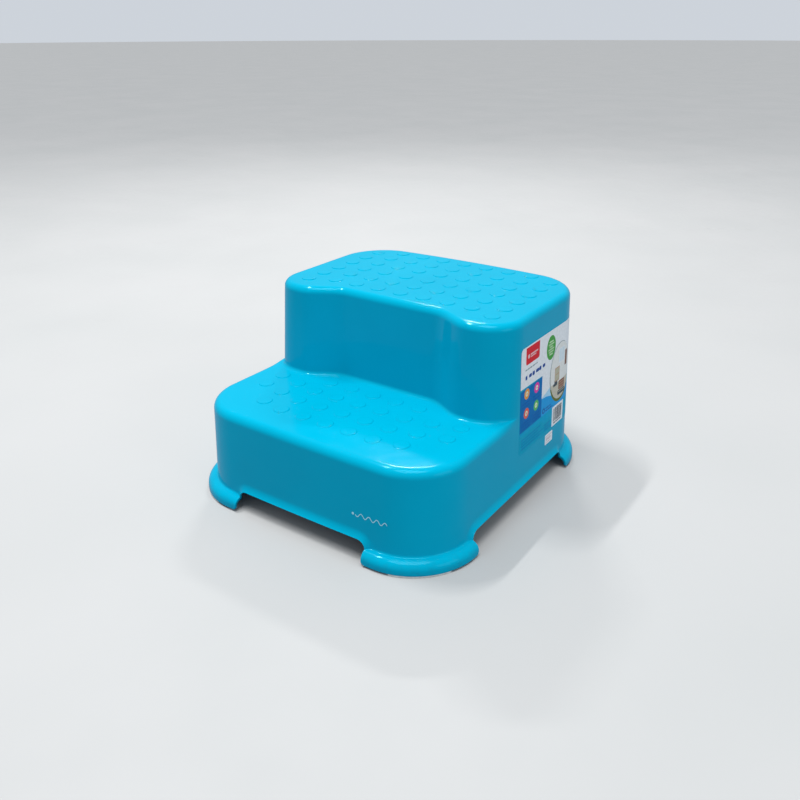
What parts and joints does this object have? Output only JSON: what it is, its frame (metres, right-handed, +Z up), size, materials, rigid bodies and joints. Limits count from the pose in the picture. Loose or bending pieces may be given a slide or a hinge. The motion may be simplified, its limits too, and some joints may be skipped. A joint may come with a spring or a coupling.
{
  "type": "child's step stool",
  "caption": "Child's moulded plastic step stool with a low and a high tread, raised grip discs, an arched skirt, flared feet on thin soft pads, and stickers on one side.",
  "frame": {"origin": "on the floor, under the middle of the footprint of the feet", "axes": "+Z up, -Y towards the lower tread at the front, +X to the user's right when facing the rear"},
  "size_m": [0.3582, 0.3877, 0.2208],
  "materials": {
    "stool_blue": "gloss",
    "pad_grey": "matte",
    "label_print": "satin",
    "sticker_white": "matte"
  },
  "bodies": {
    "root": {"step_shell": "stool_blue", "foot_pad_front_left": "pad_grey", "foot_pad_front_right": "pad_grey", "foot_pad_rear_left": "pad_grey", "foot_pad_rear_right": "pad_grey", "side_label": "label_print", "price_sticker": "sticker_white"}
  },
  "joints": []
}
